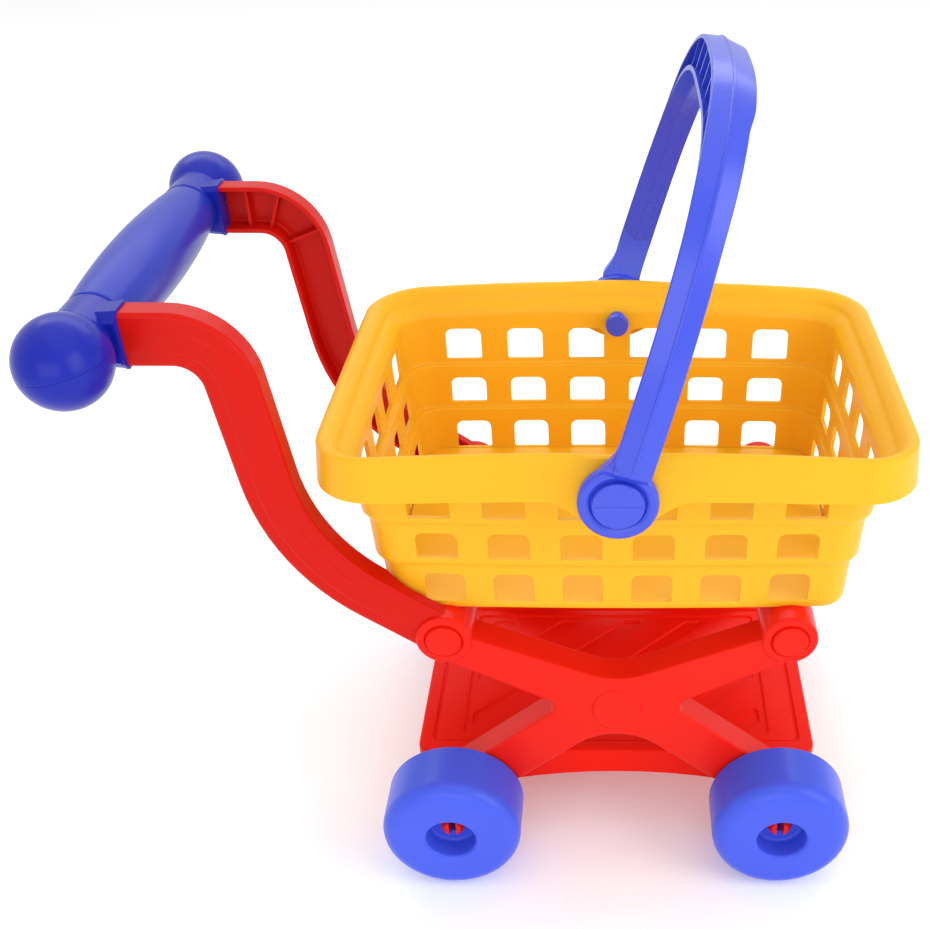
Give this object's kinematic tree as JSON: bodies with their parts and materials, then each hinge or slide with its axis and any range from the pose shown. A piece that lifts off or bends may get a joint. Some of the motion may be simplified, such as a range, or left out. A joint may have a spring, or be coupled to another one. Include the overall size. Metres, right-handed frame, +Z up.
{
  "type": "toy shopping cart",
  "caption": "Toy shopping cart with a lift-off lattice basket, a swinging bail, X-shaped side frames, a lower tray, curved push arms and wheels",
  "frame": {"origin": "on the floor, under the middle of the whole cart's length and width", "axes": "+X is the way the cart is pushed, +Y is its left side, +Z is up"},
  "size_m": [0.3964, 0.2696, 0.4188],
  "materials": {
    "frame": "moulded",
    "tray": "moulded",
    "arm": "moulded",
    "handle": "moulded",
    "grip": "moulded",
    "wheel": "moulded",
    "basket": "moulded",
    "bail": "moulded"
  },
  "bodies": {
    "cart": {"side_frame_right": "frame", "side_frame_left": "frame", "rear_cross_bar": "frame", "front_cross_bar": "frame", "cross_bar_caps": "frame", "lower_tray": "tray", "push_arm_right": "arm", "push_arm_left": "arm", "handle_end_right_upper": "handle", "handle_end_right_lower": "handle", "handle_end_left_upper": "handle", "handle_end_left_lower": "handle", "handle_grip": "grip"},
    "rear_right_wheel": {"wheel_rear_right": "wheel"},
    "rear_left_wheel": {"wheel_rear_left": "wheel"},
    "front_right_wheel": {"wheel_front_right": "wheel"},
    "front_left_wheel": {"wheel_front_left": "wheel"},
    "basket_unit": {"basket": "basket", "bail_pin_right": "bail", "bail_pin_left": "bail"},
    "bail_unit": {"bail": "bail"}
  },
  "joints": [
    {"name": "rear_right_wheel_spin", "type": "hinge", "parent": "cart", "child": "rear_right_wheel", "pos_m": [-0.0358, -0.109, 0.038], "axis": [0, 1, 0], "continuous": true},
    {"name": "rear_left_wheel_spin", "type": "hinge", "parent": "cart", "child": "rear_left_wheel", "pos_m": [-0.0358, 0.109, 0.038], "axis": [0, 1, 0], "continuous": true},
    {"name": "front_right_wheel_spin", "type": "hinge", "parent": "cart", "child": "front_right_wheel", "pos_m": [0.1462, -0.109, 0.038], "axis": [0, 1, 0], "continuous": true},
    {"name": "front_left_wheel_spin", "type": "hinge", "parent": "cart", "child": "front_left_wheel", "pos_m": [0.1462, 0.109, 0.038], "axis": [0, 1, 0], "continuous": true},
    {"name": "basket_lift", "type": "slide", "parent": "cart", "child": "basket_unit", "axis": [0, 0, 1], "range_m": [0, 0.12]},
    {"name": "bail_swing", "type": "hinge", "parent": "basket_unit", "child": "bail_unit", "pos_m": [0.0552, 0, 0.248], "axis": [0, 1, 0], "range_deg": [-68, 56]}
  ]
}
